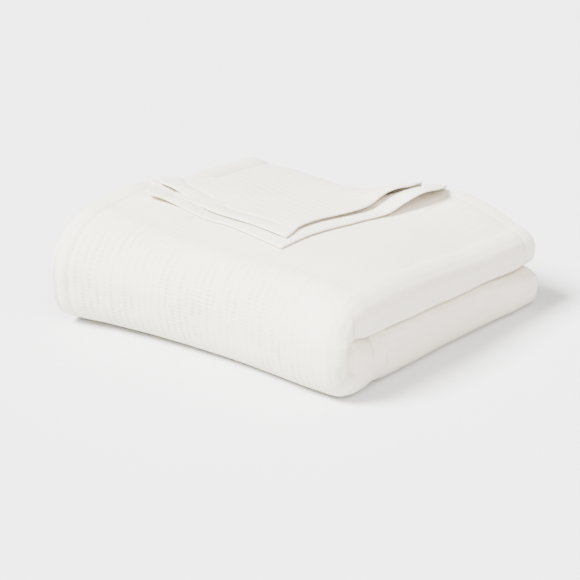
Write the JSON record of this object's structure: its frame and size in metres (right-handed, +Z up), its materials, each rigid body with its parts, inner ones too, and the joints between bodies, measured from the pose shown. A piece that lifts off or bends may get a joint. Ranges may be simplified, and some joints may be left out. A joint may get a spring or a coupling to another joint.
{
  "type": "matelasse blanket",
  "caption": "Off-white ribbed matelasse blanket with hemmed edges, folded to a soft square stack, a corner of its top layers turned back.",
  "frame": {"origin": "middle of the folded stack's box, on the surface it rests on", "axes": "+Z up; X along the front wrap, from the hems on the left to the folds on the right; Y from the front wrap to the back"},
  "size_m": [0.4216, 0.3998, 0.1378],
  "materials": {
    "cloth": "matte ribbed cotton weave"
  },
  "bodies": {
    "root": {"blanket": "cloth"}
  },
  "joints": []
}
